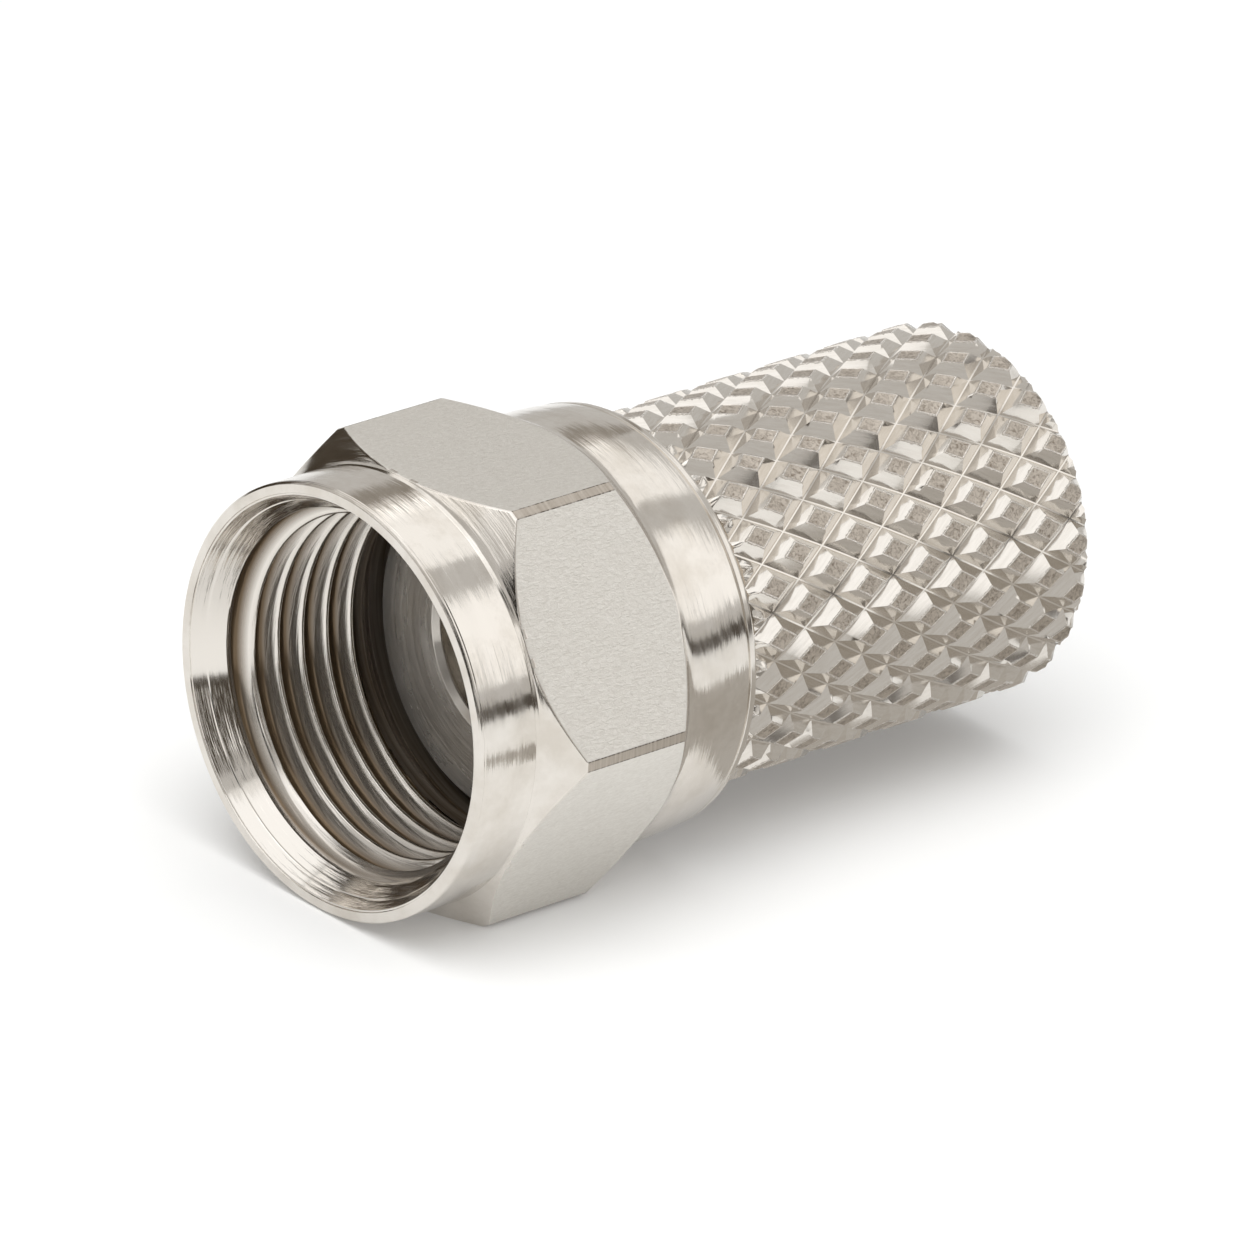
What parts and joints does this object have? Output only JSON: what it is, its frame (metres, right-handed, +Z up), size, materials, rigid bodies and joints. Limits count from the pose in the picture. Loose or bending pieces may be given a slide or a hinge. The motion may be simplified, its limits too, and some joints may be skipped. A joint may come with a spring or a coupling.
{
  "type": "coaxial cable connector",
  "caption": "Screw-on coaxial plug: a hexagon coupling nut with an inside thread turns freely on a tubular cable body with a diamond-knurled grip.",
  "frame": {"origin": "on the axis where the nut's inside thread starts, 1.51 mm behind the plane of the nut's mouth", "axes": "+X along the axis from the nut's mouth to the cable end; +Z up, at right angles to one of the nut's flats, which faces down; +Y to the left when looking along +X"},
  "size_m": [0.0211, 0.0126, 0.011],
  "materials": {
    "nut_nickel": "bright nickel plate on turned brass, satin on the flats",
    "body_nickel": "bright nickel plate on turned and knurled brass"
  },
  "bodies": {
    "plug_body": {"cable_body": "body_nickel"},
    "nut": {"coupling_nut": "nut_nickel"}
  },
  "joints": [
    {"name": "nut_turn", "type": "hinge", "parent": "plug_body", "child": "nut", "pos_m": [0.00609, 0, 0], "axis": [1, 0, 0], "continuous": true}
  ]
}
